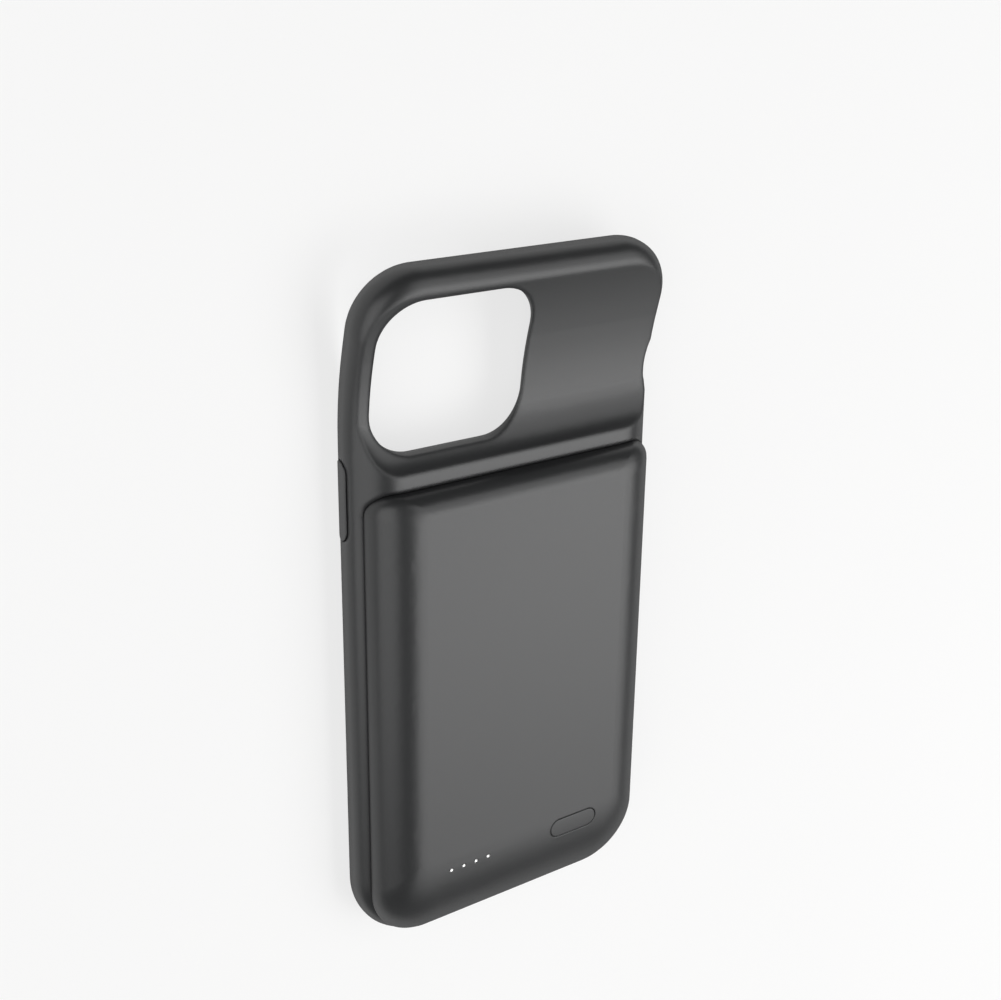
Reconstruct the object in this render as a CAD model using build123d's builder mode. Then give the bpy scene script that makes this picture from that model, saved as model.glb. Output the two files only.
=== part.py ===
from build123d import *
import os
from math import cos, pi, radians, sin, sqrt

# Battery charging case for a large phone, lying on its front rim.
# +X is to the right seen from the back, +Y runs to the camera end, +Z points out of the back.
# The origin is on the floor, under the middle of the overall length. All sizes are millimetres.

# The phone that goes in, and the room round it
phone_width = 78.1
phone_length = 160.8
phone_thickness = 7.65
phone_corner = 11.9
phone_clearance = 0.2

# Soft frame: walls, lip and edge roundings
side_wall = 2.75
top_wall = 1.9
chin_length = 7.8
chin_corner = 17.5
back_wall = 2.0
panel_wall = 0.9
lip_thickness = 1.25
lip_overhang = 1.5
front_edge = 3.9
front_edge_rise = 6.0
back_edge = 4.5
edge_share = 0.96

# Bend of the frame's upper part, pulled back so that the phone slides in
bend_to_top = 40.9
bend_radius = 78.0
bend_angle = 15.5

# Camera window, and the opening for the phone's ring switch with its finger scoop
window_width = 40.7
window_length = 36.9
window_corner = 10.5
window_centre_x = -17.1
window_to_top = 6.1
window_cut_depth = 6.0
switch_opening_length = 12.6
switch_opening_height = 6.4
switch_opening_to_top = 33.1
scoop_radius = 22.0
scoop_depth = 0.9
scoop_angle = 40.0

# Rear cover: the hump over the cell
cover_to_window = 7.7
cover_wall = 1.3
shoulder_width = 11.5
brow_radius = 5.0
tail_length = 24.0
tail_start_level = 6.9
seam_drop = 0.5
seam_gap = 0.15
seam_groove = 0.2
cover_top_corner = 5.0
cover_bottom_corner = 15.0
cover_flat_corner = 2.5

# Collar of the frame at the cover's top end: a crowned land, then a hollow down to the thin upper panel
collar_land = 3.9
collar_height = 3.2
collar_root = 0.35
crown_half_flat = 31.0
crown_radius = 12.6
hollow_run = 11.0
hollow_rise = 6.0
hollow_lift = 0.1
hollow_side = 0.5
hollow_corner = 10.0
hollow_fade = 3.9

# Stack between the phone and the cover
lining_thickness = 0.3
plate_thickness = 0.7
tape_thickness = 0.2
cell_thickness = 6.4
foam_thickness = 1.05
foam_gap = 0.05

# Inner plate, its flange overlap in the frame, and the screw bosses
plate_to_chin = 1.2
plate_to_cover_end = 1.6
plate_corner = 6.0
plate_clearance = 0.1
flange_overlap = 1.4
boss_radius = 2.0
boss_clearance = 0.3
boss_rows = 3
boss_spacing = 36.0
boss_row_to_chin = 61.0
screw_radius = 0.7
screw_length = 4.0
screw_head_radius = 1.4
screw_head_height = 0.4
screw_clearance = 0.05

# Cell with its protection board and tabs
cell_side_gap = 0.5
tape_margin = 4.0
cell_top_gap = 2.3
cell_edge = 1.5
cell_board_length = 2.6
cell_board_width = 40.0
cell_board_gap = 0.4
tab_width = 4.0
tab_thickness = 0.2
tab_spacing = 26.0
tab_landing = 2.0

# Main board on the plate's posts
board_width = 56.0
board_thickness = 0.8
board_lift = 1.0
board_start = 4.5
board_length = 22.5
board_corner = 1.5
post_radius = 1.7
post_inset = 3.2
board_screw_radius = 0.6
board_screw_head_radius = 1.2
board_screw_head_height = 0.5
chip_size = 4.0
chip_height = 0.9
chip_row = 7.0
chip_x = -7.0
boost_chip_x = 1.0
coil_size = 6.4
coil_height = 3.0
coil_corner = 1.2
coil_row = 15.8
capacitor_length = 2.0
capacitor_width = 1.25
capacitor_height = 1.25
capacitor_pitch = 2.4
capacitor_count = 4
capacitor_x = 10.0

# Indicator lights and their light guide
led_count = 4
led_pitch = 3.6
led_centre_x = -16.2
led_row = 20.8
led_length = 1.6
led_width = 0.8
led_height = 0.6
guide_pin_radius = 0.45
guide_clearance = 0.05
guide_bar_width = 2.4
guide_bar_height = 1.0
guide_bar_gap = 0.1

# Power button with its switch
button_length = 14.1
button_width = 5.0
button_x = 15.7
button_row = 21.0
button_gap = 0.18
button_rim = 0.9
button_rim_thickness = 0.8
button_travel = 0.4
button_rest_gap = 0.05
button_stem_radius = 1.6
switch_size = 5.2
switch_height = 1.5
plunger_radius = 1.2
plunger_rise = 0.6
plunger_hidden = 0.6
plunger_clearance = 0.1

# Keys that reach the phone's own keys
key_width = 5.0
key_level = 4.7
key_gap = 0.4
key_proud = 0.2
key_rim = 0.7
key_rim_thickness = 0.7
key_rim_clearance = 0.15
key_stop_gap = 0.02
key_travel = 0.5
side_key_length = 18.8
side_key_to_top = 53.2
volume_key_length = 10.0
volume_up_to_top = 47.9
volume_down_to_top = 61.9

# Chin: plug for the phone, charge socket and sound slots
cavity_half_width = 13.0
cavity_outer_wall = 1.9
cavity_inner_wall = 1.0
cavity_floor = 2.4
plug_width = 6.65
plug_thickness = 1.5
plug_reach = 6.8
plug_root = 2.6
plug_clearance = 0.05
contact_count = 8
contact_pitch = 0.72
contact_width = 0.42
contact_length = 2.6
contact_height = 0.04
contact_to_tip = 1.3
carrier_width = 12.0
carrier_gap = 0.4
port_board_width = 22.0
port_board_thickness = 0.6
port_board_gap = 0.15
socket_width = 8.94
socket_height = 3.16
socket_corner = 1.4
socket_wall = 0.3
socket_length = 6.3
socket_recess = 0.35
socket_clearance = 0.1
tongue_width = 6.69
tongue_thickness = 0.7
tongue_end_gap = 0.8
plug_edge = 0.5
header_width = 4.0
header_x = 8.5
header_gap = 0.1
sound_slot_length = 11.0
sound_slot_height = 2.4
sound_slot_x = 20.0

# Outline and levels that follow from the sizes above
half_width = phone_width / 2 + phone_clearance + side_wall
case_length = chin_length + phone_length + 2 * phone_clearance + top_wall
pocket_half_width = phone_width / 2 + phone_clearance
pocket_corner = phone_corner + phone_clearance
outer_corner = pocket_corner + side_wall
pocket_back = lip_thickness + phone_thickness
frame_depth = pocket_back + back_wall
panel_level = pocket_back + panel_wall
edge_level = frame_depth - back_edge
plate_level = pocket_back + lining_thickness
flange_level = plate_level + plate_thickness
seam_level = frame_depth - seam_drop
cell_level = flange_level + tape_thickness
foam_level = cell_level + cell_thickness
cover_inner_level = foam_level + foam_thickness + foam_gap
cover_level = cover_inner_level + cover_wall
board_level = flange_level + board_lift
board_top_level = board_level + board_thickness

# Overall length: the bent top end reaches furthest on its front edge rounding
bend_arc = bend_radius * radians(bend_angle)
bend_sin = sin(radians(bend_angle))
bend_cos = cos(radians(bend_angle))
straight_length = case_length - bend_to_top
edge_turn = 1 - sqrt(1 - edge_share ** 2)
front_run = front_edge / edge_turn
front_rise = front_edge_rise / edge_share
overall_length = (straight_length + (bend_radius + pocket_back - front_edge_rise) * bend_sin
                  + (bend_to_top - bend_arc - front_run) * bend_cos
                  + sqrt((front_run * bend_cos) ** 2 + (front_rise * bend_sin) ** 2))
bottom_end = -overall_length / 2
bend_start = bottom_end + straight_length
top_end = bottom_end + case_length
pocket_bottom = bottom_end + chin_length
pocket_top = top_end - top_wall
bend_axis = Axis((0, bend_start, pocket_back + bend_radius), (1, 0, 0))


def quarter(height, run):
    """Inset of a quarter-ellipse edge at a share of its height, from 0 at its foot to run at its top."""
    share = min(max(height, 0), 1)
    return run * (1 - sqrt(1 - share * share))


def front_inset(level):
    return quarter((front_edge_rise - level) / front_rise, front_run)


def frame_inset(level):
    return quarter((level - edge_level) / back_edge, back_edge)


def tail_inset(level, floor_inset, wall):
    reach = tail_length - floor_inset
    return floor_inset + quarter((level - tail_start_level) / (cover_level - wall - tail_start_level), reach)


def rounded_section(level, section_half_width, bottom, top, bottom_corner, top_corner):
    """Outline at one level: a rectangle with its own corner radius at each end."""
    with BuildSketch(Plane.XY.offset(level)) as section:
        with Locations((0, (bottom + top) / 2)):
            Rectangle(2 * section_half_width, top - bottom)
        fillet(section.vertices().group_by(Axis.Y)[0], bottom_corner)
        fillet(section.vertices().group_by(Axis.Y)[-1], top_corner)
    return section.sketch


def frame_section(level):
    front = front_inset(level)
    inset = front + frame_inset(level)
    chin = bottom_end + front + tail_inset(level, 0, 0)
    return rounded_section(level, half_width - inset, chin, top_end - inset,
                           chin_corner - front, outer_corner - inset)


# The cover's end at the camera side and its widest half width, where it meets the frame
window_low = top_end - window_to_top - window_length
cover_end = window_low - cover_to_window
cover_half_width = half_width - frame_inset(seam_level)
arc_steps = 6
arc_shares = [sin(pi / 2 * step / arc_steps) for step in range(arc_steps + 1)]


def cover_section(level, wall):
    """Outline of the cover at one level, drawn in by a wall for the inside form."""
    rise = cover_level - wall - seam_level
    share = (level - seam_level) / rise
    drawn_in = quarter(share, 1)
    brow = brow_radius - wall
    brow_inset = quarter((level - (cover_level - wall - brow)) / brow, brow)
    bottom_corner = cover_bottom_corner - wall + drawn_in * (cover_flat_corner - cover_bottom_corner)
    top_corner = cover_top_corner - wall + drawn_in * (cover_flat_corner - cover_top_corner)
    return rounded_section(
        level, cover_half_width - wall - drawn_in * (shoulder_width - wall / 2),
        bottom_end + tail_inset(level, wall, wall), cover_end - wall - brow_inset, bottom_corner, top_corner)


# Outer form of the straight frame, before anything is cut from it
with BuildPart() as frame_form:
    loft(sections=[frame_section(front_edge_rise * (1 - share)) for share in arc_shares])
    extrude(frame_section(front_edge_rise), amount=edge_level - front_edge_rise)
    loft(sections=[frame_section(edge_level + back_edge * share) for share in arc_shares])

# Outer form of the cover, over a drawn-in foot that leaves a shadow groove at the seam
with BuildPart() as cover_form:
    cover_foot = seam_level + seam_groove
    loft(sections=[cover_section(cover_foot + (cover_level - cover_foot) * share, 0) for share in arc_shares])
    extrude(cover_section(seam_level, seam_groove), amount=seam_groove)

# Inside form of the cover
with BuildPart() as cover_hollow:
    inner_rise = cover_inner_level - seam_level
    loft(sections=[cover_section(seam_level + inner_rise * share, cover_wall) for share in arc_shares])

# Room for the cover on the frame: the cover's form grown by the seam gap
with BuildPart() as cover_seat:
    seat_rise = cover_level + seam_gap - seam_level
    loft(sections=[cover_section(seam_level + seat_rise * share, -seam_gap) for share in arc_shares])


# Places that several pieces share
collar_bottom = cover_end - cover_top_corner
panel_start = (collar_bottom + cover_end) / 2
panel_bend_end = bend_start + bend_arc
plate_half_width = pocket_half_width - lip_overhang
plate_bottom = pocket_bottom + plate_to_chin
plate_top = cover_end - plate_to_cover_end
flange_half_width = plate_half_width - flange_overlap
boss_x = flange_half_width - boss_clearance - boss_radius
boss_places = [(side * boss_x, pocket_bottom + boss_row_to_chin + (row - (boss_rows - 1) / 2) * boss_spacing)
               for side in (-1, 1) for row in range(boss_rows)]
board_bottom = bottom_end + board_start
board_top = board_bottom + board_length
post_x = board_width / 2 - post_inset
post_rows = (plate_bottom + flange_overlap + boss_clearance + post_radius, board_top - post_inset)
post_places = [(side * post_x, y) for side in (-1, 1) for y in post_rows]
led_y = bottom_end + led_row
led_places = [(led_centre_x + (index - (led_count - 1) / 2) * led_pitch, led_y) for index in range(led_count)]
button_y = bottom_end + button_row
cavity_bottom = bottom_end + cavity_outer_wall
cavity_top = pocket_bottom - cavity_inner_wall
cavity_middle = (cavity_bottom + cavity_top) / 2
cavity_depth = cavity_top - cavity_bottom
plug_level = pocket_back - phone_thickness / 2
port_board_level = plug_level + plug_thickness / 2 + plug_clearance + port_board_gap
socket_level = port_board_level + port_board_thickness + socket_height / 2
socket_mouth = bottom_end + socket_recess
key_stop = pocket_half_width + key_travel + 2 * key_stop_gap + key_rim_thickness
keys = {"side_key": (-1, side_key_length, top_end - side_key_to_top),
        "volume_up_key": (1, volume_key_length, top_end - volume_up_to_top),
        "volume_down_key": (1, volume_key_length, top_end - volume_down_to_top)}


def key_outline(x, middle, length, growth):
    """Rounded key outline on a plane across X, grown by a rim or a gap."""
    with BuildSketch(Plane.YZ.offset(x)) as outline:
        with Locations((middle, key_level)):
            SlotOverall(length + 2 * growth, key_width + 2 * growth)
    return outline.sketch


def cross_slot(y, x, level, width, height, corner):
    """Rounded opening on a plane across Y, looking along +Y."""
    with BuildSketch(Plane.XZ.offset(-y)) as opening:
        with Locations((x, level)):
            RectangleRounded(width, height, corner)
    return opening.sketch


# Frame as it is moulded, straight, with every cut but those in the bent part
with BuildPart() as straight_frame:
    add(frame_form.part)
    # Thin upper panel, which thickens again towards the top rim
    with BuildSketch(Plane.YZ):
        with BuildLine():
            floor = Line((panel_start, panel_level), (panel_bend_end, panel_level))
            rise = TangentArc(floor @ 1, (top_end - back_edge, frame_depth), tangent=floor % 1)
            Polyline(rise @ 1, (top_end - back_edge, cover_level), (panel_start, cover_level), floor @ 0)
        make_face()
    extrude(amount=2 * half_width, both=True, mode=Mode.SUBTRACT)
    add(cover_seat.part, mode=Mode.SUBTRACT)
    pocket = rounded_section(lip_thickness, pocket_half_width, pocket_bottom, pocket_top,
                             pocket_corner, pocket_corner)
    extrude(pocket, amount=phone_thickness, mode=Mode.SUBTRACT)
    mouth_corner = pocket_corner - lip_overhang
    mouth = rounded_section(0, pocket_half_width - lip_overhang, pocket_bottom + lip_overhang,
                            pocket_top - lip_overhang, mouth_corner, mouth_corner)
    extrude(mouth, amount=lip_thickness, mode=Mode.SUBTRACT)
    # Seat for the lining and the plate, and the window through the flange behind them
    recess = rounded_section(pocket_back, plate_half_width + plate_clearance, plate_bottom - plate_clearance,
                             plate_top + plate_clearance, plate_corner, plate_corner)
    extrude(recess, amount=flange_level - pocket_back, mode=Mode.SUBTRACT)
    flange_window = rounded_section(flange_level, flange_half_width, plate_bottom + flange_overlap,
                                    plate_top - flange_overlap, plate_corner, plate_corner)
    extrude(flange_window, amount=frame_depth - flange_level, mode=Mode.SUBTRACT)
    # Chin: cavity for the plug and socket, their openings, and the sound slots
    with Locations((0, cavity_middle, cavity_floor)):
        Box(2 * cavity_half_width, cavity_depth, frame_depth - cavity_floor,
            align=(Align.CENTER, Align.CENTER, Align.MIN), mode=Mode.SUBTRACT)
    extrude(cross_slot(cavity_bottom, 0, socket_level, socket_width + 2 * socket_clearance,
                       socket_height + 2 * socket_clearance, socket_corner),
            amount=2 * cavity_outer_wall, mode=Mode.SUBTRACT)
    extrude(cross_slot(pocket_bottom, 0, plug_level, plug_width + 2 * plug_clearance,
                       plug_thickness + 2 * plug_clearance, plug_thickness / 2),
            amount=2 * cavity_inner_wall, mode=Mode.SUBTRACT)
    with BuildSketch(Plane.XZ.offset(-pocket_bottom)):
        with Locations((-sound_slot_x, plug_level), (sound_slot_x, plug_level)):
            SlotOverall(sound_slot_length, sound_slot_height)
    extrude(amount=2 * chin_length, mode=Mode.SUBTRACT)
    # Stepped slots that hold the keys
    for side, length, middle in keys.values():
        extrude(key_outline(side * pocket_half_width, middle, length, key_gap), amount=side * 2 * side_wall,
                mode=Mode.SUBTRACT)
        extrude(key_outline(side * pocket_half_width, middle, length, key_rim + key_rim_clearance),
                amount=side * (key_stop - pocket_half_width), mode=Mode.SUBTRACT)

# Straight top end, which the bend carries round
with BuildPart() as upper_end:
    add(straight_frame.part)
    split(bisect_by=Plane.XZ.offset(-(bend_start + bend_arc)), keep=Keep.BOTTOM)


def bent(distance, level):
    """Plane square to the frame's back, at a distance past the bend's start or before it."""
    turn = min(max(distance, 0) / bend_radius, radians(bend_angle))
    past = distance - turn * bend_radius
    radius = bend_radius + pocket_back - level
    origin = (0, bend_start + radius * sin(turn) + past * cos(turn),
              pocket_back + bend_radius - radius * cos(turn) + past * sin(turn))
    return Plane(origin, x_dir=(1, 0, 0), z_dir=(0, -sin(turn), cos(turn)))


# Collar: crowned across the frame, with the hollow cut from it by outlines that widen as they rise
collar_level = frame_depth + collar_height
hollow_level = panel_level + hollow_lift
crest_share = 1 - (collar_level - hollow_level) / hollow_rise
hollow_foot = cover_end + collar_land + hollow_run * sqrt(1 - crest_share ** 2)
hollow_end = hollow_foot + 2 * hollow_corner
collar_end = hollow_foot + hollow_fade
crown_centre_level = collar_level - crown_radius
crown_base = panel_level - collar_root


def hollow_section(turn):
    """Outline of the hollow at one level, with a wide corner on the camera window's side."""
    low = hollow_foot - hollow_run * sin(turn)
    with BuildSketch(Plane.XY.offset(hollow_level + hollow_rise * (1 - cos(turn)))) as section:
        with Locations((0, (low + hollow_end) / 2)):
            Rectangle(2 * (half_width - hollow_side), hollow_end - low)
        fillet(section.vertices().sort_by(Axis((0, 0, 0), (1, 1, 0)))[0], hollow_corner)
    return section.sketch


with BuildPart() as collar:
    with BuildSketch(Plane.XZ.offset(-collar_end)):
        with Locations((-crown_half_flat, crown_centre_level), (crown_half_flat, crown_centre_level)):
            Circle(crown_radius)
        with Locations((0, collar_level)):
            Rectangle(2 * crown_half_flat, collar_level, align=(Align.CENTER, Align.MAX))
        with Locations((0, crown_base)):
            Rectangle(4 * half_width, 2 * crown_radius, align=(Align.CENTER, Align.MAX), mode=Mode.SUBTRACT)
    extrude(amount=collar_end - collar_bottom)
    hollow_turns = [pi / 2 * step / arc_steps for step in range(arc_steps)]
    loft(sections=[hollow_section(turn) for turn in hollow_turns], mode=Mode.SUBTRACT)
    add(cover_seat.part, mode=Mode.SUBTRACT)
    extrude(recess, amount=flange_level - pocket_back, mode=Mode.SUBTRACT)
    extrude(flange_window, amount=frame_depth - flange_level, mode=Mode.SUBTRACT)

# Camera window: the flat plane through its ends on the bent panel
window_to_bend = window_low - bend_start
window_low_edge = bent(window_to_bend, panel_level).origin
window_high_edge = bent(window_to_bend + window_length, panel_level).origin
window_chord = window_high_edge - window_low_edge
window_plane = Plane((window_low_edge + window_high_edge) / 2, x_dir=(1, 0, 0),
                     z_dir=(0, -window_chord.Z, window_chord.Y))
switch_plane = bent(bend_to_top - switch_opening_to_top, pocket_back - phone_thickness / 2)
# Finger scoop in the rail over the switch: a ball whose middle lies on a line through the back rounding
scoop_plane = bent(bend_to_top - switch_opening_to_top, edge_level)
scoop_reach = back_edge - scoop_depth + scoop_radius

# Soft frame: one moulding, with its upper part bent back
with BuildPart() as soft_frame:
    add(straight_frame.part)
    split(bisect_by=Plane.XZ.offset(-bend_start), keep=Keep.TOP)
    bend_section = soft_frame.faces().sort_by(Axis.Y)[-1]
    revolve(bend_section, axis=bend_axis, revolution_arc=bend_angle)
    add(upper_end.part.translate((0, -bend_arc, 0)).rotate(bend_axis, bend_angle))
    add(collar.part)
    with BuildSketch(window_plane):
        with Locations((window_centre_x, 0)):
            RectangleRounded(window_width, window_length, window_corner)
    extrude(amount=window_cut_depth, both=True, mode=Mode.SUBTRACT)
    switch_side = Plane(switch_plane.origin, x_dir=switch_plane.y_dir, z_dir=(1, 0, 0))
    with BuildSketch(switch_side.offset(pocket_half_width)):
        SlotOverall(switch_opening_length, switch_opening_height)
    extrude(amount=2 * side_wall, mode=Mode.SUBTRACT)
    with Locations(scoop_plane):
        with Locations((half_width - back_edge + scoop_reach * cos(radians(scoop_angle)), 0,
                        scoop_reach * sin(radians(scoop_angle)))):
            Sphere(scoop_radius, mode=Mode.SUBTRACT)
soft_frame.part.label = "soft_frame"

# Rear cover: shell with screw bosses, light holes and the button's opening
with BuildPart() as bosses:
    with BuildSketch(Plane.XY.offset(flange_level)):
        with Locations(*boss_places):
            Circle(boss_radius)
    extrude(amount=cover_level - flange_level)
    add(cover_form.part, mode=Mode.INTERSECT)
with BuildPart() as boss_feet:
    with BuildSketch(Plane.XY.offset(flange_level)):
        with Locations(*boss_places):
            Circle(boss_radius)
    extrude(amount=seam_level - flange_level)


def button_outline(level, growth):
    with BuildSketch(Plane.XY.offset(level)) as outline:
        with Locations((button_x, button_y)):
            SlotOverall(button_length + 2 * growth, button_width + 2 * growth)
    return outline.sketch


with BuildPart() as rear_cover:
    add(cover_form.part)
    add(cover_hollow.part, mode=Mode.SUBTRACT)
    add(bosses.part)
    add(boss_feet.part)
    with BuildSketch(Plane.XY.offset(flange_level)):
        with Locations(*boss_places):
            Circle(screw_radius + screw_clearance)
    extrude(amount=screw_length, mode=Mode.SUBTRACT)
    with BuildSketch(Plane.XY.offset(board_top_level)):
        with Locations(*led_places):
            Circle(guide_pin_radius + guide_clearance)
    extrude(amount=cover_level - board_top_level, mode=Mode.SUBTRACT)
    extrude(button_outline(board_top_level, button_gap), amount=cover_level - board_top_level,
            mode=Mode.SUBTRACT)
rear_cover.part.label = "rear_cover"

# Inner plate: screwed to the cover's bosses, with the frame's flange between them
with BuildPart() as inner_plate:
    plate_outline = rounded_section(plate_level, plate_half_width, plate_bottom, plate_top,
                                    plate_corner, plate_corner)
    extrude(plate_outline, amount=plate_thickness)
    with BuildSketch(Plane.XY.offset(flange_level)):
        with Locations(*post_places):
            Circle(post_radius)
    extrude(amount=board_lift)
    with BuildSketch(Plane.XY.offset(flange_level)):
        with Locations(*post_places):
            Circle(board_screw_radius + screw_clearance)
    extrude(amount=board_lift, mode=Mode.SUBTRACT)
    with BuildSketch(Plane.XY.offset(plate_level)):
        with Locations(*boss_places):
            Circle(screw_radius + screw_clearance)
    extrude(amount=plate_thickness, mode=Mode.SUBTRACT)
    with BuildSketch(Plane.XY.offset(plate_level)):
        with Locations(*boss_places):
            Circle(screw_head_radius + screw_clearance)
    extrude(amount=screw_head_height, mode=Mode.SUBTRACT)
inner_plate.part.label = "inner_plate"

# Screws from the phone side, hidden under the lining
with BuildPart() as plate_screws:
    with BuildSketch(Plane.XY.offset(plate_level)):
        with Locations(*boss_places):
            Circle(screw_head_radius)
    extrude(amount=screw_head_height)
    with BuildSketch(Plane.XY.offset(plate_level)):
        with Locations(*boss_places):
            Circle(screw_radius)
    extrude(amount=screw_length)
plate_screws.part.label = "plate_screws"

# Soft lining on the phone side of the plate
with BuildPart() as lining_pad:
    lining_outline = rounded_section(pocket_back, plate_half_width, plate_bottom, plate_top,
                                     plate_corner, plate_corner)
    extrude(lining_outline, amount=lining_thickness)
lining_pad.part.label = "lining_pad"

# Cell, its adhesive tape and the foam that holds it against the plate
cell_half_width = boss_x - boss_radius - cell_side_gap
cell_bottom = board_top + cell_board_gap + cell_board_length
cell_top = cover_end - cover_wall - cell_top_gap
foam_half_width = cover_half_width - shoulder_width - cover_wall
with BuildPart() as battery_cell:
    extrude(rounded_section(cell_level, cell_half_width, cell_bottom, cell_top, cell_edge, cell_edge),
            amount=cell_thickness)
    fillet(battery_cell.edges().group_by(Axis.Z)[-1], cell_edge / 2)
battery_cell.part.label = "battery_cell"
with BuildPart() as cell_tape:
    extrude(rounded_section(flange_level, cell_half_width - tape_margin, cell_bottom + tape_margin,
                            cell_top - tape_margin, cell_edge, cell_edge), amount=tape_thickness)
cell_tape.part.label = "cell_tape"
with BuildPart() as foam_pad:
    extrude(rounded_section(foam_level, foam_half_width, cell_bottom + tape_margin, cell_top - brow_radius,
                            cell_edge, cell_edge), amount=foam_thickness)
foam_pad.part.label = "foam_pad"

# Main board on its posts, with its screws
with BuildPart() as main_board:
    board_outline = rounded_section(board_level, board_width / 2, board_bottom, board_top,
                                    board_corner, board_corner)
    extrude(board_outline, amount=board_thickness)
    with BuildSketch(Plane.XY.offset(board_level)):
        with Locations(*post_places):
            Circle(board_screw_radius + screw_clearance)
    extrude(amount=board_thickness, mode=Mode.SUBTRACT)
main_board.part.label = "main_board"
with BuildPart() as board_screws:
    with BuildSketch(Plane.XY.offset(board_top_level)):
        with Locations(*post_places):
            Circle(board_screw_head_radius)
    extrude(amount=board_screw_head_height)
    with BuildSketch(Plane.XY.offset(flange_level + screw_clearance)):
        with Locations(*post_places):
            Circle(board_screw_radius)
    extrude(amount=board_lift + board_thickness)
board_screws.part.label = "board_screws"

# Protection board at the cell's end, and the two tabs that join it to the main board
with BuildPart() as cell_board:
    extrude(rounded_section(board_level, cell_board_width / 2, board_top + cell_board_gap, cell_bottom,
                            cell_board_gap, cell_board_gap), amount=board_thickness)
cell_board.part.label = "cell_board"


def cell_tab(x):
    """Flat strip that lies across both boards."""
    with BuildPart() as tab:
        with BuildSketch(Plane.XY.offset(board_top_level)):
            with Locations((x, board_top + cell_board_gap / 2)):
                RectangleRounded(tab_width, 2 * tab_landing + cell_board_gap, tab_thickness)
        extrude(amount=tab_thickness)
    return tab


positive_tab = cell_tab(tab_spacing / 2)
positive_tab.part.label = "positive_tab"
negative_tab = cell_tab(-tab_spacing / 2)
negative_tab.part.label = "negative_tab"


def board_block(x, row, width, length, height):
    """Block-shaped component standing on the main board, a row up from the board's lower edge."""
    with BuildPart() as block:
        with Locations((x, board_bottom + row, board_top_level)):
            Box(width, length, height, align=(Align.CENTER, Align.CENTER, Align.MIN))
    return block


charge_chip = board_block(chip_x, chip_row, chip_size, chip_size, chip_height)
charge_chip.part.label = "charge_chip"
boost_chip = board_block(boost_chip_x, chip_row, chip_size, chip_size, chip_height)
boost_chip.part.label = "boost_chip"
with BuildPart() as inductor:
    with BuildSketch(Plane.XY.offset(board_top_level)):
        with Locations((0, board_bottom + coil_row)):
            RectangleRounded(coil_size, coil_size, coil_corner)
    extrude(amount=coil_height)
inductor.part.label = "inductor"
with BuildPart() as capacitors:
    with BuildSketch(Plane.XY.offset(board_top_level)):
        with Locations((capacitor_x, board_bottom + chip_row)):
            with GridLocations(capacitor_pitch, 0, capacitor_count, 1):
                Rectangle(capacitor_width, capacitor_length)
    extrude(amount=capacitor_height)
capacitors.part.label = "capacitors"

# Indicator lights on the board, and the clear guide that brings them to the surface
guide_level = board_top_level + led_height + guide_bar_gap
with BuildPart() as indicator_leds:
    with BuildSketch(Plane.XY.offset(board_top_level)):
        with Locations(*led_places):
            Rectangle(led_length, led_width)
    extrude(amount=led_height)
indicator_leds.part.label = "indicator_leds"
with BuildPart() as light_guide:
    with BuildSketch(Plane.XY.offset(guide_level)):
        with Locations((led_centre_x, led_y)):
            SlotOverall((led_count - 1) * led_pitch + guide_bar_width, guide_bar_width)
    extrude(amount=guide_bar_height)
    with BuildSketch(Plane.XY.offset(guide_level)):
        with Locations(*led_places):
            Circle(guide_pin_radius)
    extrude(amount=cover_level - guide_level)
    add(cover_form.part, mode=Mode.INTERSECT)
light_guide.part.label = "light_guide"

# Switch under the power button, its plunger, and the button itself, flush in the cover
switch_top = board_top_level + switch_height
plunger_level = switch_top - plunger_hidden
button_low_y = button_row - button_width / 2 - button_rim
inner_tail_share = (tail_length - button_low_y) / (tail_length - cover_wall)
inner_tail_level = tail_start_level + (cover_inner_level - tail_start_level) * sqrt(1 - inner_tail_share ** 2)
button_rim_top = inner_tail_level - button_rest_gap
button_rim_level = button_rim_top - button_rim_thickness
with BuildPart() as tactile_switch:
    with Locations((button_x, button_y, board_top_level)):
        Box(switch_size, switch_size, switch_height, align=(Align.CENTER, Align.CENTER, Align.MIN))
    with BuildSketch(Plane.XY.offset(plunger_level - button_travel - plunger_clearance)):
        with Locations((button_x, button_y)):
            Circle(plunger_radius + plunger_clearance)
    extrude(amount=switch_height, mode=Mode.SUBTRACT)
tactile_switch.part.label = "tactile_switch"
with BuildPart() as switch_plunger:
    with BuildSketch(Plane.XY.offset(plunger_level)):
        with Locations((button_x, button_y)):
            Circle(plunger_radius)
    extrude(amount=plunger_hidden + plunger_rise)
switch_plunger.part.label = "switch_plunger"
with BuildPart() as power_button:
    extrude(button_outline(button_rim_level, 0), amount=cover_level - button_rim_level)
    add(cover_form.part, mode=Mode.INTERSECT)
    extrude(button_outline(button_rim_level, button_rim), amount=button_rim_thickness)
    stem_level = switch_top + plunger_rise
    with BuildSketch(Plane.XY.offset(stem_level)):
        with Locations((button_x, button_y)):
            Circle(button_stem_radius)
    extrude(amount=button_rim_level - stem_level)
power_button.part.label = "power_button"

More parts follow.
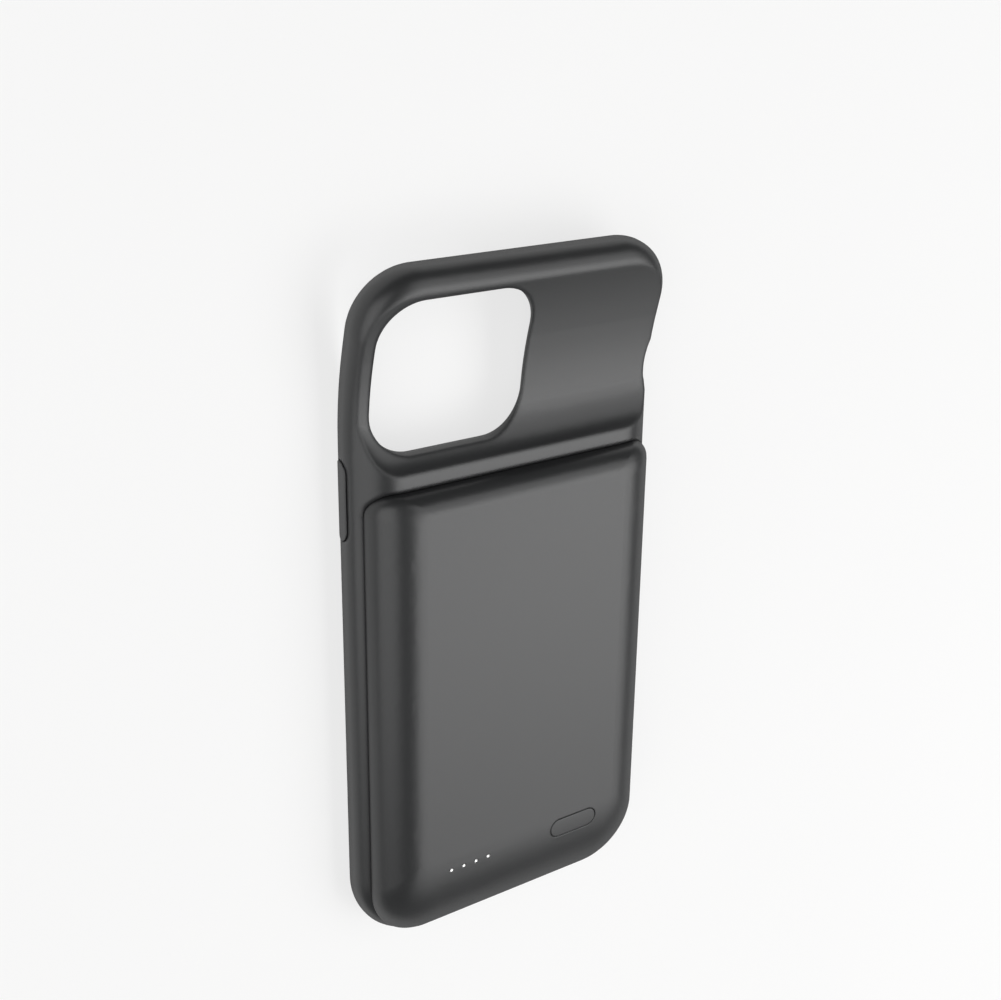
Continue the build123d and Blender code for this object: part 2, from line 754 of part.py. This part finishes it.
# Board in the chin, between the plug's carrier and the charge socket
with BuildPart() as port_board:
    with Locations((0, cavity_middle, port_board_level)):
        Box(port_board_width, cavity_depth - 2 * port_board_gap, port_board_thickness,
            align=(Align.CENTER, Align.CENTER, Align.MIN))
port_board.part.label = "port_board"
with BuildPart() as link_header:
    header_length = cavity_top - board_bottom - 2 * header_gap
    header_level = port_board_level + port_board_thickness
    with Locations((header_x, cavity_top - header_gap - header_length / 2, header_level)):
        Box(header_width, header_length, board_level - header_level,
            align=(Align.CENTER, Align.CENTER, Align.MIN))
link_header.part.label = "link_header"
with BuildPart() as plug_carrier:
    with Locations((0, cavity_middle + carrier_gap / 2, cavity_floor)):
        Box(carrier_width, cavity_depth - carrier_gap, port_board_level - cavity_floor,
            align=(Align.CENTER, Align.CENTER, Align.MIN))
    extrude(cross_slot(cavity_top, 0, plug_level, plug_width + 2 * plug_clearance,
                       plug_thickness + 2 * plug_clearance, plug_thickness / 2),
            amount=plug_root + plug_clearance, mode=Mode.SUBTRACT)
plug_carrier.part.label = "plug_carrier"

# Plug that goes into the phone, with its contact pads on both faces
plug_tip = pocket_bottom + plug_reach
with BuildPart() as phone_plug:
    plug_corner = plug_thickness / 2 - plug_clearance
    extrude(cross_slot(plug_tip, 0, plug_level, plug_width, plug_thickness, plug_corner),
            amount=plug_tip - cavity_top + plug_root)
    fillet(phone_plug.edges().group_by(Axis.Y)[-1], plug_edge)
phone_plug.part.label = "phone_plug"
with BuildPart() as plug_contacts:
    contact_offset = (plug_thickness + contact_height) / 2
    with Locations((0, plug_tip - contact_to_tip - contact_length / 2, plug_level)):
        with GridLocations(contact_pitch, 0, contact_count, 1):
            with Locations((0, 0, -contact_offset), (0, 0, contact_offset)):
                Box(contact_width, contact_length, contact_height)
plug_contacts.part.label = "plug_contacts"

# Charge socket: drawn metal shell with the contact tongue inside
socket_back = socket_mouth + socket_length
with BuildPart() as charge_socket_shell:
    extrude(cross_slot(socket_back, 0, socket_level, socket_width, socket_height, socket_corner),
            amount=socket_length)
    extrude(cross_slot(socket_back - socket_wall, 0, socket_level, socket_width - 2 * socket_wall,
                       socket_height - 2 * socket_wall, socket_corner - socket_wall),
            amount=socket_length, mode=Mode.SUBTRACT)
charge_socket_shell.part.label = "charge_socket_shell"
with BuildPart() as charge_socket_tongue:
    tongue_length = socket_length - socket_wall - tongue_end_gap
    with Locations((0, socket_back - socket_wall, socket_level)):
        Box(tongue_width, tongue_length, tongue_thickness, align=(Align.CENTER, Align.MAX, Align.CENTER))
charge_socket_tongue.part.label = "charge_socket_tongue"


def phone_key(name, side, length, middle):
    """Key cap cut from the frame's own outer form, with a rim that holds it inside the rail."""
    rim_face = side * (key_stop - key_stop_gap)
    with BuildPart() as key:
        extrude(key_outline(rim_face, middle, length, 0), amount=side * 2 * side_wall)
        add(frame_form.part.translate((side * key_proud, 0, 0)), mode=Mode.INTERSECT)
        extrude(key_outline(rim_face, middle, length, key_rim), amount=-side * key_rim_thickness)
    key.part.label = name
    return key


pieces = [soft_frame, rear_cover, inner_plate, plate_screws, lining_pad, battery_cell, cell_tape, foam_pad,
          main_board, board_screws, cell_board, positive_tab, negative_tab, charge_chip, boost_chip, inductor,
          capacitors, indicator_leds, light_guide, tactile_switch, switch_plunger, power_button, port_board,
          link_header, plug_carrier, phone_plug, plug_contacts, charge_socket_shell, charge_socket_tongue]
pieces += [phone_key(name, *place) for name, place in keys.items()]
os.makedirs("parts", exist_ok=True)
for piece in pieces:
    export_step(piece.part, f"parts/{piece.part.label}.step")
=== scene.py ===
import math

import bpy
from mathutils import Matrix, Vector


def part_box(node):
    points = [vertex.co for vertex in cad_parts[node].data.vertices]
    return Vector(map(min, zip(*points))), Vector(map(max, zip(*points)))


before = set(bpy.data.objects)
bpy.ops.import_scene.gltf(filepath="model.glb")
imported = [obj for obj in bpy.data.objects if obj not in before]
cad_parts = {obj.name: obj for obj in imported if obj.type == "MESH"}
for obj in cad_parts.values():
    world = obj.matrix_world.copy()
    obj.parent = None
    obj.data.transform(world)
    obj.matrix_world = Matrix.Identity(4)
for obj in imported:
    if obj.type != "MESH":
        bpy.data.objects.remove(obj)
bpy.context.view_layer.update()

scene = bpy.context.scene
scene.view_settings.view_transform = "Standard"

# Table top: a board of matt white laminate under the case, much larger than the case.
# It reads as a plain white ground, and the case's soft shadow stays on it.
mm_per_metre = 1000
table_half_width = 30.0
table_drop = 0.02 / mm_per_metre
table_white = 0.72
cloud_width = 160


def linear(code):
    """Linear RGBA of an sRGB hex colour."""
    channels = [int(code[i:i + 2], 16) / 255 for i in (1, 3, 5)]
    return tuple(c / 12.92 if c <= 0.04045 else ((c + 0.055) / 1.055) ** 2.4
                 for c in channels) + (1,)


def add_node(tree, kind, values=(), links=(), **settings):
    """New shader node with its settings, socket values and incoming links."""
    made = tree.nodes.new(kind)
    for key, value in settings.items():
        setattr(made, key, value)
    for socket, value in dict(values).items():
        made.inputs[socket].default_value = value
    for socket, source in dict(links).items():
        tree.links.new(source, made.inputs[socket])
    return made


def start_material(name, **sockets):
    """New material on a Principled shader with its constants, and its place in metres."""
    made = bpy.data.materials.new(name)
    made.use_nodes = True
    tree = made.node_tree
    shader = tree.nodes["Principled BSDF"]
    for socket, value in sockets.items():
        shader.inputs[socket.replace("_", " ")].default_value = value
    return made, tree, shader, add_node(tree, "ShaderNodeTexCoord").outputs["Object"]


# A Mix node's colour sockets share their names with its number sockets, so they go by place
share, colour_a, colour_b, mixed = 0, 6, 7, 2

# Laminate is paper under melamine resin, pressed with a matt plate:
# white, with broad faint clouds and no gloss
white_laminate, tree, shader, place = start_material("white_laminate", Roughness=0.7,
                                                     Specular_IOR_Level=0.15)
clouds = add_node(tree, "ShaderNodeTexNoise",
                  {"Scale": mm_per_metre / cloud_width, "Detail": 3.0}, {"Vector": place})
tone = add_node(tree, "ShaderNodeMix",
                {colour_a: linear("#dededd"), colour_b: linear("#e4e4e3")},
                {share: clouds.outputs["Fac"]}, data_type="RGBA")
tree.links.new(tone.outputs[mixed], shader.inputs["Base Color"])
# Seen directly, in a gloss or through something clear, the table is mostly plain white
rays = add_node(tree, "ShaderNodeLightPath").outputs
seen = add_node(tree, "ShaderNodeMath", {},
                {0: rays["Is Camera Ray"], 1: rays["Is Glossy Ray"]}, operation="ADD")
seen = add_node(tree, "ShaderNodeMath", {},
                {0: seen.outputs[0], 1: rays["Is Transmission Ray"]}, operation="ADD")
white_share = add_node(tree, "ShaderNodeMath", {1: table_white}, {0: seen.outputs[0]},
                       operation="MULTIPLY")
plain_white = add_node(tree, "ShaderNodeEmission", {"Color": linear("#ffffff"), "Strength": 1.0})
ground = add_node(tree, "ShaderNodeMixShader", {},
                  {0: white_share.outputs[0], 1: shader.outputs["BSDF"],
                   2: plain_white.outputs["Emission"]})
tree.links.new(ground.outputs["Shader"], tree.nodes["Material Output"].inputs["Surface"])
table_mesh = bpy.data.meshes.new("table_top")
table_corners = [(x * table_half_width, y * table_half_width, -table_drop)
                 for x, y in ((-1, -1), (1, -1), (1, 1), (-1, 1))]
table_mesh.from_pydata(table_corners, [], [(0, 1, 2, 3)])
table_mesh.materials.append(white_laminate)
table_top = bpy.data.objects.new("table_top", table_mesh)
scene.collection.objects.link(table_top)

# Camera: hand height, to the upper left of the case, looking down on its back.
# Its place and its turn were solved from the case's edges, its four lights and its button.
camera_place = (-0.19297, 0.15503, 0.2826)
camera_right = Vector((0.8222, 0.0124, 0.5691))
camera_up = Vector((0.1967, 0.932, -0.3044))
camera_back = Vector((-0.5342, 0.3622, 0.7638))
lens = bpy.data.cameras.new("camera")
lens.sensor_width = 36.0
lens.lens = 54.68
lens.clip_start = 0.01
camera = bpy.data.objects.new("camera", lens)
camera_turn = Matrix((camera_right, camera_up, camera_back)).transposed().to_4x4()
camera.matrix_world = Matrix.Translation(camera_place) @ camera_turn
scene.collection.objects.link(camera)
scene.camera = camera

# Studio light: a large soft box with a brighter core over the right side, and one low on the left.
# The dark slot between them draws the shadow line along the cover's shoulder.
along_case = Vector((0, 1, 0))


def soft_box(name, centre, aim, width, length, radiance):
    """Soft box of even radiance, with its width across the table and its length along the case."""
    lamp = bpy.data.lights.new(name, "AREA")
    lamp.shape = "RECTANGLE"
    lamp.size = width
    lamp.size_y = length
    lamp.energy = radiance * math.pi * width * length
    made = bpy.data.objects.new(name, lamp)
    out = (Vector(centre) - Vector(aim)).normalized()
    across = along_case.cross(out).normalized()
    turn = Matrix((across, out.cross(across), out)).transposed().to_4x4()
    made.matrix_world = Matrix.Translation(centre) @ turn
    scene.collection.objects.link(made)


soft_box("right_soft_box", centre=(0.64, -0.22, 0.75), aim=(0.64, -0.22, 0),
         width=1.06, length=1.68, radiance=1.45)
soft_box("right_soft_box_core", centre=(0.64, -0.27, 0.74), aim=(0.64, -0.27, 0),
         width=1.06, length=0.5, radiance=1.75)
soft_box("left_soft_box", centre=(-0.62, 0.03, 0.48), aim=(0, 0.03, 0.01),
         width=0.78, length=1.08, radiance=1.6)
scene.world = bpy.data.worlds.new("studio")
scene.world.use_nodes = True
studio_walls = scene.world.node_tree.nodes["Background"].inputs
studio_walls["Color"].default_value = linear("#7c7c7c")
studio_walls["Strength"].default_value = 1.0

# Soft frame: one injection moulding in thermoplastic polyurethane rubber, dyed charcoal.
# Its thin top end bends back to let the case go on, and its flange is clamped
# between the plate and the cover.


def moulded(name, tones, patch, grain, relief, gloss, edge, graze=0.0, glow=False, **sockets):
    """Moulded plastic with dye patches, mould grain, and rounded, rubbed edges; sizes in mm.

    The tones are two of the dye and one of the edges; a paler edge tone is rubbing with a painted
    highlight. A glow takes the surface's own colours.
    """
    made, tree, shader, place = start_material(name, **sockets)
    patches = add_node(tree, "ShaderNodeTexNoise",
                       {"Scale": mm_per_metre / patch, "Detail": 2.0}, {"Vector": place})
    dye = add_node(tree, "ShaderNodeMix",
                   {colour_a: linear(tones[0]), colour_b: linear(tones[1])},
                   {share: patches.outputs["Fac"]}, data_type="RGBA")
    # An edge is where the rounded face leaves the true one, by the cosine between them
    edge_starts, edge_full = 0.995, 0.85
    rounded = add_node(tree, "ShaderNodeBevel", {"Radius": edge / mm_per_metre}, samples=6)
    true_face = add_node(tree, "ShaderNodeNewGeometry")
    agree = add_node(tree, "ShaderNodeVectorMath", {},
                     {0: rounded.outputs["Normal"], 1: true_face.outputs["Normal"]},
                     operation="DOT_PRODUCT")
    edge_wear_and_highlight = add_node(tree, "ShaderNodeMapRange",
                      {"From Min": edge_starts, "From Max": edge_full},
                      {"Value": agree.outputs["Value"]})
    # The edges get their own tone: where it is paler than the dye, it is a painted highlight over
    # the rubbing
    dye_and_painted_edge = add_node(tree, "ShaderNodeMix", {colour_b: linear(tones[2])},
                    {share: edge_wear_and_highlight.outputs["Result"], colour_a: dye.outputs[mixed]},
                    data_type="RGBA")
    tree.links.new(dye_and_painted_edge.outputs[mixed], shader.inputs["Base Color"])
    if glow:
        tree.links.new(dye_and_painted_edge.outputs[mixed], shader.inputs["Emission Color"])
    # The lands between the grain's pits are a little duller, and rubbing polishes an edge
    pit_floor, pit_land, edge_polish = 0.3, 0.7, -0.04
    pits = add_node(tree, "ShaderNodeTexNoise",
                    {"Scale": mm_per_metre / grain, "Detail": 3.0}, {"Vector": place})
    matt = add_node(tree, "ShaderNodeMapRange",
                    {"From Min": pit_floor, "From Max": pit_land,
                     "To Min": gloss[0], "To Max": gloss[1]}, {"Value": pits.outputs["Fac"]})
    sheen = add_node(tree, "ShaderNodeMath", {1: edge_polish},
                     {0: edge_wear_and_highlight.outputs["Result"], 2: matt.outputs["Result"]},
                     operation="MULTIPLY_ADD")
    if graze:
        # Matting grains scatter the light that comes in aslant, so the far edges stay dull
        aslant_starts, aslant_full = 0.5, 0.95
        aslant = add_node(tree, "ShaderNodeLayerWeight", {"Blend": 0.5})
        low_sheen = add_node(tree, "ShaderNodeMapRange",
                             {"From Min": aslant_starts, "From Max": aslant_full,
                              "To Max": graze}, {"Value": aslant.outputs["Facing"]})
        sheen = add_node(tree, "ShaderNodeMath", {},
                         {0: sheen.outputs[0], 1: low_sheen.outputs["Result"]}, operation="ADD")
    tree.links.new(sheen.outputs[0], shader.inputs["Roughness"])
    skin = add_node(tree, "ShaderNodeBump", {"Strength": 0.5, "Distance": relief / mm_per_metre},
                    {"Height": pits.outputs["Fac"], "Normal": rounded.outputs["Normal"]})
    tree.links.new(skin.outputs["Normal"], shader.inputs["Normal"])
    return made


def dress(material, *names):
    """Give CAD pieces their material."""
    for name in names:
        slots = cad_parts[name].data.materials
        slots.clear()
        slots.append(material)


# The mould's spark-eroded face prints a grain of about 0.06 mm, which spreads each highlight
# into a soft sheen. It is drawn at 0.4 mm, because the real grain is too fine to show
eroded_polyurethane = moulded("eroded_polyurethane", ("#1b1c1d", "#202122", "#2a2b2c"),
                              patch=28, grain=0.4, relief=0.006, gloss=(0.33, 0.39), edge=1.4,
                              graze=0.4, IOR=1.5, Specular_IOR_Level=0.65)
dress(eroded_polyurethane, "soft_frame")

# Inner plate: a moulded ABS sheet that closes the case's back and carries the cell.
# Six zinc-plated screws go through it into the cover's bosses and clamp the frame's flange.
crystal_width = 0.3

# ABS from a blasted mould is black and slightly silky, with faint flow clouds.
# Its blast marks, about 0.1 mm wide, are drawn at 0.6 mm to show
blasted_abs = moulded("blasted_abs", ("#282829", "#303031", "#3a3a3b"), patch=18, grain=0.6,
                      relief=0.008, gloss=(0.42, 0.55), edge=0.3, IOR=1.54)
dress(blasted_abs, "inner_plate")


def lay_pattern(tree, shader, pattern, tones, gloss=None, relief=None, strength=0.0,
                under=None, sunk=False):
    """Lead a pattern to the shader: two tones, a range of roughness, and a relief in mm.

    The relief stands on the normal under it, and is sunk where the pattern is high if asked.
    """
    tone = add_node(tree, "ShaderNodeMix",
                    {colour_a: linear(tones[0]), colour_b: linear(tones[1])},
                    {share: pattern}, data_type="RGBA")
    tree.links.new(tone.outputs[mixed], shader.inputs["Base Color"])
    if gloss:
        lustre = add_node(tree, "ShaderNodeMapRange",
                          {"To Min": gloss[0], "To Max": gloss[1]}, {"Value": pattern})
        tree.links.new(lustre.outputs["Result"], shader.inputs["Roughness"])
    if relief:
        heights = {"Height": pattern, "Normal": under} if under else {"Height": pattern}
        bump = add_node(tree, "ShaderNodeBump",
                        {"Strength": strength, "Distance": relief / mm_per_metre}, heights,
                        invert=sunk)
        tree.links.new(bump.outputs["Normal"], shader.inputs["Normal"])


# Zinc plate over steel is bluish grey, clouded by its fine crystals, drawn 0.3 mm wide to show
zinc_plated_steel, tree, shader, place = start_material("zinc_plated_steel", Metallic=1.0)
crystals = add_node(tree, "ShaderNodeTexNoise",
                    {"Scale": mm_per_metre / crystal_width, "Detail": 4.0}, {"Vector": place})
lay_pattern(tree, shader, crystals.outputs["Fac"], ("#b4b6b9", "#c6c7c8"), gloss=(0.24, 0.4))
dress(zinc_plated_steel, "plate_screws", "board_screws")

# Lining: a thin pad of microfibre cloth, glued over the plate and facing into the pocket.
# Its fibres are about 0.01 mm thick and lie in brushed tufts, drawn 0.5 mm wide to show.
nap_width = 14
tuft_width = 0.5
tuft_depth = 0.08
tuft_squeeze = (1.0, 0.3, 1.0)

# Brushed microfibre has no gloss, a pale bloom at its edges, and clouds where the nap lies over
brushed_microfibre, tree, shader, place = start_material(
    "brushed_microfibre", Roughness=0.95, Sheen_Weight=0.4, Sheen_Roughness=0.5,
    Specular_IOR_Level=0.2)
nap = add_node(tree, "ShaderNodeTexNoise",
               {"Scale": mm_per_metre / nap_width, "Detail": 2.0}, {"Vector": place})
along = add_node(tree, "ShaderNodeMapping", {"Scale": tuft_squeeze}, {"Vector": place})
tufts = add_node(tree, "ShaderNodeTexNoise",
                 {"Scale": mm_per_metre / tuft_width, "Detail": 3.0},
                 {"Vector": along.outputs["Vector"]})
cloth = add_node(tree, "ShaderNodeMath", {}, {0: nap.outputs["Fac"], 1: tufts.outputs["Fac"]},
                 operation="MULTIPLY")
lay_pattern(tree, shader, cloth.outputs[0], ("#1c1c1e", "#343437"))
fluff = add_node(tree, "ShaderNodeBump",
                 {"Strength": 0.6, "Distance": tuft_depth / mm_per_metre},
                 {"Height": tufts.outputs["Fac"]})
tree.links.new(fluff.outputs["Normal"], shader.inputs["Normal"])
dress(brushed_microfibre, "lining_pad")

# Battery cell: a flat lithium pouch, sealed in aluminium foil between nylon and plastic films.
# A double-sided tape holds it to the plate, and a foam pad takes up the room under the cover.
crease_spacing = 9
fibre_spacing = 0.8
fibre_thickness = 0.16
foam_cell_width = 0.7
foam_wall = 0.175

# The foil is bright and slightly milky through the nylon, with shallow creases about 9 mm apart
laminated_foil, tree, shader, place = start_material("laminated_foil", Metallic=1.0)
creases = add_node(tree, "ShaderNodeTexNoise",
                   {"Scale": mm_per_metre / crease_spacing, "Detail": 5.0, "Distortion": 0.6},
                   {"Vector": place})
lay_pattern(tree, shader, creases.outputs["Fac"], ("#bfc1c4", "#cfd0d2"), gloss=(0.26, 0.44),
            relief=0.3, strength=0.4)
dress(laminated_foil, "battery_cell")

# Acrylic tape on a fleece carrier is milky, and the fleece's crossing fibres show through,
# drawn 0.8 mm apart
fleece_tape, tree, shader, place = start_material("fleece_tape", IOR=1.47)
fibres = add_node(tree, "ShaderNodeTexVoronoi", {"Scale": mm_per_metre / fibre_spacing},
                  {"Vector": place}, feature="DISTANCE_TO_EDGE")
fleece = add_node(tree, "ShaderNodeMapRange", {"From Max": fibre_thickness / fibre_spacing},
                  {"Value": fibres.outputs["Distance"]})
lay_pattern(tree, shader, fleece.outputs["Result"], ("#e3e0d6", "#d6d3c8"), gloss=(0.3, 0.5))
dress(fleece_tape, "cell_tape")

# Open-cell polyurethane foam, cut from a block, is charcoal, with open cells 0.7 mm wide sunk and
# painted darker as their shade
cut_foam, tree, shader, place = start_material("cut_foam", Roughness=0.95,
                                               Specular_IOR_Level=0.2)
cells = add_node(tree, "ShaderNodeTexVoronoi", {"Scale": mm_per_metre / foam_cell_width},
                 {"Vector": place}, feature="DISTANCE_TO_EDGE")
cell_depth_and_shade = add_node(tree, "ShaderNodeMapRange", {"From Max": foam_wall / foam_cell_width},
                 {"Value": cells.outputs["Distance"]})
# The same mask sinks each cell and paints it dark: a painted shade in the hollows
lay_pattern(tree, shader, cell_depth_and_shade.outputs["Result"], ("#414143", "#202021"), relief=0.4,
            strength=0.8, sunk=True)
dress(cut_foam, "foam_pad")

# Circuit boards: the cell's guard board, the main board and the port board, glass cloth in epoxy.
# Copper tracks lie under a green resist, and the main board is screwed to four posts of the cover.
field_width = 6
track_width = 0.54
track_edge_starts = 0.24
track_edge_full = 0.3

# Solder resist is a glossy lacquer: dark green over the glass, lighter green where a track
# of about 0.5 mm runs under it
solder_resist, tree, shader, place = start_material("solder_resist", IOR=1.55)
fields = add_node(tree, "ShaderNodeTexVoronoi", {"Scale": mm_per_metre / field_width},
                  {"Vector": place}, distance="CHEBYCHEV", voronoi_dimensions="2D")
steps = add_node(tree, "ShaderNodeMath", {1: track_width / field_width},
                 {0: fields.outputs["Distance"]}, operation="PINGPONG")
tracks = add_node(tree, "ShaderNodeMapRange",
                  {"From Min": track_edge_starts / field_width,
                   "From Max": track_edge_full / field_width}, {"Value": steps.outputs[0]})
lay_pattern(tree, shader, tracks.outputs["Result"], ("#173f2c", "#23573d"), gloss=(0.34, 0.26),
            relief=0.04, strength=0.5)
dress(solder_resist, "cell_board", "main_board", "port_board")

# Cell tabs: two nickel strips, stamped from sheet.
# They are spot-welded from the pouch to the guard board.
streak_spacing = 0.25
streak_squeeze = (1.0, 0.05, 1.0)

# Rolled nickel is a warm grey, streaked along the strip by the rolls, drawn 0.25 mm apart
rolled_nickel, tree, shader, place = start_material("rolled_nickel", Metallic=1.0)
strip = add_node(tree, "ShaderNodeMapping", {"Scale": streak_squeeze}, {"Vector": place})
streaks = add_node(tree, "ShaderNodeTexNoise",
                   {"Scale": mm_per_metre / streak_spacing, "Detail": 2.0},
                   {"Vector": strip.outputs["Vector"]})
lay_pattern(tree, shader, streaks.outputs["Fac"], ("#ccc9c2", "#d9d6d0"), gloss=(0.24, 0.42))
dress(rolled_nickel, "positive_tab", "negative_tab")

# Chips: the charging circuit and the voltage booster, soldered flat on the main board.
# Each is silicon on a copper frame, with epoxy moulded round it.

# Silica-filled epoxy is near black, dull and even, peppered with grains, drawn 0.15 mm wide
moulded_epoxy = moulded("moulded_epoxy", ("#1f2021", "#262728", "#303132"), patch=2.5,
                        grain=0.15, relief=0.004, gloss=(0.5, 0.62), edge=0.1, IOR=1.55)
dress(moulded_epoxy, "charge_chip", "boost_chip")

# Inductor: a copper coil pressed inside iron powder, which stores the booster's energy.
# It is soldered to the main board by the coil's two ends.
powder_grain = 0.35

# Pressed powder is a dull mid grey with pressed grains, drawn 0.35 mm wide to show
pressed_powder, tree, shader, place = start_material("pressed_powder", IOR=1.6)
grains = add_node(tree, "ShaderNodeTexVoronoi", {"Scale": mm_per_metre / powder_grain},
                  {"Vector": place})
lay_pattern(tree, shader, grains.outputs["Distance"], ("#4c4e50", "#606264"), gloss=(0.5, 0.75),
            relief=0.03, strength=0.4)
dress(pressed_powder, "inductor")

# Capacitors: four blocks of layered ceramic, which smooth the board's current.
# They are soldered by their tinned ends, which cover a third of each half.
ceramic_grain = 0.4
tin_starts, tin_full = 0.64, 0.68
low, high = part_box("capacitors")
block_middle = (low[1] + high[1]) / 2
half_block = (high[1] - low[1]) / 2

# Fired ceramic is tan and half matt, and the dipped tin at both ends is bright
tinned_ceramic, tree, shader, place = start_material("tinned_ceramic", IOR=1.7)
axes = add_node(tree, "ShaderNodeSeparateXYZ", {}, {"Vector": place})
offset = add_node(tree, "ShaderNodeMath", {1: block_middle}, {0: axes.outputs["Y"]},
                  operation="SUBTRACT")
from_middle = add_node(tree, "ShaderNodeMath", {}, {0: offset.outputs[0]}, operation="ABSOLUTE")
tin = add_node(tree, "ShaderNodeMapRange",
               {"From Min": half_block * tin_starts, "From Max": half_block * tin_full},
               {"Value": from_middle.outputs[0]})
fired = add_node(tree, "ShaderNodeTexNoise",
                 {"Scale": mm_per_metre / ceramic_grain, "Detail": 3.0}, {"Vector": place})
body = add_node(tree, "ShaderNodeMix",
                {colour_a: linear("#988065"), colour_b: linear("#a89077")},
                {share: fired.outputs["Fac"]}, data_type="RGBA")
block = add_node(tree, "ShaderNodeMix", {colour_b: linear("#cfd0d1")},
                 {share: tin.outputs["Result"], colour_a: body.outputs[mixed]},
                 data_type="RGBA")
glaze = add_node(tree, "ShaderNodeMapRange", {"To Min": 0.3, "To Max": 0.5},
                 {"Value": fired.outputs["Fac"]})
tree.links.new(block.outputs[mixed], shader.inputs["Base Color"])
tree.links.new(tin.outputs["Result"], shader.inputs["Metallic"])
tree.links.new(glaze.outputs["Result"], shader.inputs["Roughness"])
dress(tinned_ceramic, "capacitors")

# Charge lights: four small light-emitting diodes on the main board, cast in silicone.
# A light guide moulded in one piece stands over them, and its four pins end in the cover's holes.

# Phosphor silicone is a soft yellow, speckled, and clear enough to look wet
phosphor_silicone = moulded("phosphor_silicone", ("#ddd39c", "#efe9c6", "#f3eed2"), patch=0.3,
                            grain=0.1, relief=0.004, gloss=(0.22, 0.32), edge=0.08, IOR=1.41)
dress(phosphor_silicone, "indicator_leds")
# Milky polycarbonate glows white all through, because it scatters the diodes' light.
# The cover's dark lacquer laps about 0.1 mm over each pin's rim, so the shining dot is smaller
milky_polycarbonate = moulded("milky_polycarbonate", ("#f4f4f2", "#fcfcfb", "#1e1f20"), patch=3,
                              grain=0.3, relief=0.003, gloss=(0.3, 0.4), edge=0.5, glow=True,
                              IOR=1.58, Emission_Strength=0.9)
dress(milky_polycarbonate, "light_guide")

# Switch and header: a tactile switch under the power button, and the header between two boards.
# Their bodies, and the charging socket's tongue, are moulded in nylon round their soldered pins.

# Glass-filled nylon is black and dull, with fibres just under the skin, drawn 0.4 mm wide
glass_filled_nylon = moulded("glass_filled_nylon", ("#242424", "#2c2c2d", "#373738"), patch=1.5,
                             grain=0.4, relief=0.006, gloss=(0.45, 0.6), edge=0.12, IOR=1.53)
dress(glass_filled_nylon, "tactile_switch", "link_header", "charge_socket_tongue")
# The switch's plunger is plain nylon dyed brick red, smooth and a little waxy
dyed_nylon = moulded("dyed_nylon", ("#c2523f", "#cf604b", "#d97561"), patch=1.2, grain=0.2,
                     relief=0.003, gloss=(0.35, 0.45), edge=0.15, IOR=1.53)
dress(dyed_nylon, "switch_plunger")

# Plug and charging socket: stainless shells of the common oval connector, at the lower end.
# A nylon carrier holds the plug in line with the pocket, with sixteen gold-plated contacts.
draw_line_spacing = 0.2
draw_squeeze = (1.0, 0.04, 1.0)
shell_edge = 0.08
scuff_width = 0.15

# Grey nylon from a blasted mould is half matt, with a soft painted highlight along its edges.
# Its blast marks are drawn 0.4 mm wide to show
grey_nylon = moulded("grey_nylon", ("#3a3a3b", "#434344", "#4e4e4f"), patch=4, grain=0.4,
                     relief=0.006, gloss=(0.42, 0.55), edge=0.2, IOR=1.53)
dress(grey_nylon, "plug_carrier")
# Deep-drawn stainless steel is bright, with faint draw lines along the pull, drawn 0.2 mm apart
drawn_stainless, tree, shader, place = start_material("drawn_stainless", Metallic=1.0)
pull = add_node(tree, "ShaderNodeMapping", {"Scale": draw_squeeze}, {"Vector": place})
draw_lines = add_node(tree, "ShaderNodeTexNoise",
                      {"Scale": mm_per_metre / draw_line_spacing, "Detail": 2.0},
                      {"Vector": pull.outputs["Vector"]})
soft_edge = add_node(tree, "ShaderNodeBevel", {"Radius": shell_edge / mm_per_metre}, samples=6)
lay_pattern(tree, shader, draw_lines.outputs["Fac"], ("#c4c5c6", "#d2d2d2"), gloss=(0.18, 0.36),
            relief=0.01, strength=0.2, under=soft_edge.outputs["Normal"])
dress(drawn_stainless, "phone_plug", "charge_socket_shell")
# Hard gold over nickel is warm and bright, with scuffs of 0.15 mm where it has been pushed home
hard_gold, tree, shader, place = start_material("hard_gold", Metallic=1.0)
scuffs = add_node(tree, "ShaderNodeTexNoise",
                  {"Scale": mm_per_metre / scuff_width, "Detail": 3.0}, {"Vector": place})
lay_pattern(tree, shader, scuffs.outputs["Fac"], ("#e2c684", "#edd49a"), gloss=(0.16, 0.34))
dress(hard_gold, "plug_contacts")

# Rear cover, power button and side keys: polycarbonate mouldings in the frame's charcoal.
# The cover is screwed to the plate over the frame's flange, and the button and the keys
# are caught behind their holes.

# Soft-touch lacquer is a rubbery polyurethane coat: even and velvety, with one broad highlight
# and a faint orange peel, about 0.1 mm wide and drawn at 0.5 mm to show
soft_touch_lacquer = moulded("soft_touch_lacquer", ("#1c1d1e", "#202122", "#2a2b2c"), patch=36,
                             grain=0.5, relief=0.005, gloss=(0.33, 0.38), edge=0.5, graze=0.4,
                             IOR=1.5, Specular_IOR_Level=0.65)
dress(soft_touch_lacquer, "rear_cover", "power_button", "side_key", "volume_up_key",
      "volume_down_key")
